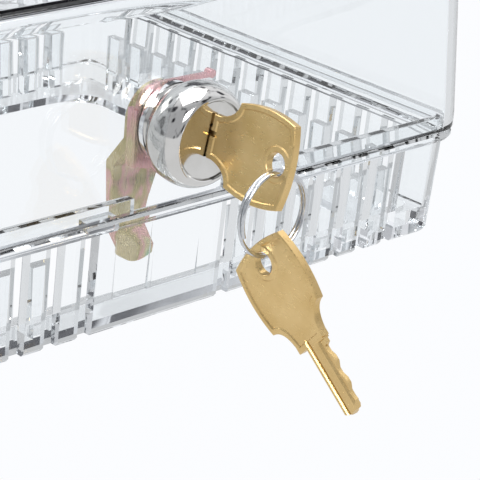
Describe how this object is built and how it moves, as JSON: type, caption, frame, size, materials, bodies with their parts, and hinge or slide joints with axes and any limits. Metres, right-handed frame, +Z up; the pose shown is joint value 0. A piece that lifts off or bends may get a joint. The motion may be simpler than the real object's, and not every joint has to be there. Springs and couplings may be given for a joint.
{
  "type": "locking clear box",
  "caption": "Clear locking box with a vented ring base, a lift-up cover held shut by a key-operated cam lock, and a spare key on a split ring.",
  "frame": {"origin": "middle of the whole object's footprint, on the surface that the box stands on", "axes": "+X along the box's width, to the right seen from the front; -Y out through the front wall with the lock; +Z up"},
  "size_m": [0.198, 0.2102, 0.0784],
  "materials": {
    "clear_plastic": "clear, polished",
    "chrome": "bright plated",
    "zinc": "yellow-passivated zinc plate, iridescent",
    "brass": "stamped, lightly worn",
    "steel": "bright drawn wire"
  },
  "bodies": {
    "base": {"ring_base": "clear_plastic"},
    "cover": {"cover": "clear_plastic", "lock_housing": "chrome", "lock_clip": "zinc"},
    "plug": {"lock_plug": "chrome", "wafer_1": "brass", "wafer_2": "brass", "wafer_3": "brass", "wafer_4": "brass", "wafer_5": "brass", "wafer_spring_1": "steel", "wafer_spring_2": "steel", "wafer_spring_3": "steel", "wafer_spring_4": "steel", "wafer_spring_5": "steel", "lock_cam": "zinc", "cam_washer": "steel", "cam_screw": "steel"},
    "key_1": {"key_1": "brass"},
    "key_ring": {"key_ring": "steel"},
    "key_2": {"key_2": "brass"}
  },
  "joints": [
    {"name": "cover_lift", "type": "hinge", "parent": "base", "child": "cover", "pos_m": [0, 0.10508, 0.0289], "axis": [-1, 0, 0], "range_deg": [0, 70]},
    {"name": "plug_turn", "type": "hinge", "parent": "cover", "child": "plug", "pos_m": [0, -0.04491, 0.0476], "axis": [0, 1, 0], "range_deg": [-60, 18]},
    {"name": "key_slide", "type": "slide", "parent": "plug", "child": "key_1", "axis": [0, -1, 0], "range_m": [0, 0.026]},
    {"name": "ring_swing", "type": "hinge", "parent": "key_1", "child": "key_ring", "pos_m": [0.00011, -0.07603, 0.04739], "axis": [1, 0, 0], "range_deg": [-25, 0]},
    {"name": "key_2_swing", "type": "hinge", "parent": "key_ring", "child": "key_2", "pos_m": [-0.00158, -0.07676, 0.02868], "axis": [1, 0, 0], "range_deg": [-8, 0]}
  ]
}
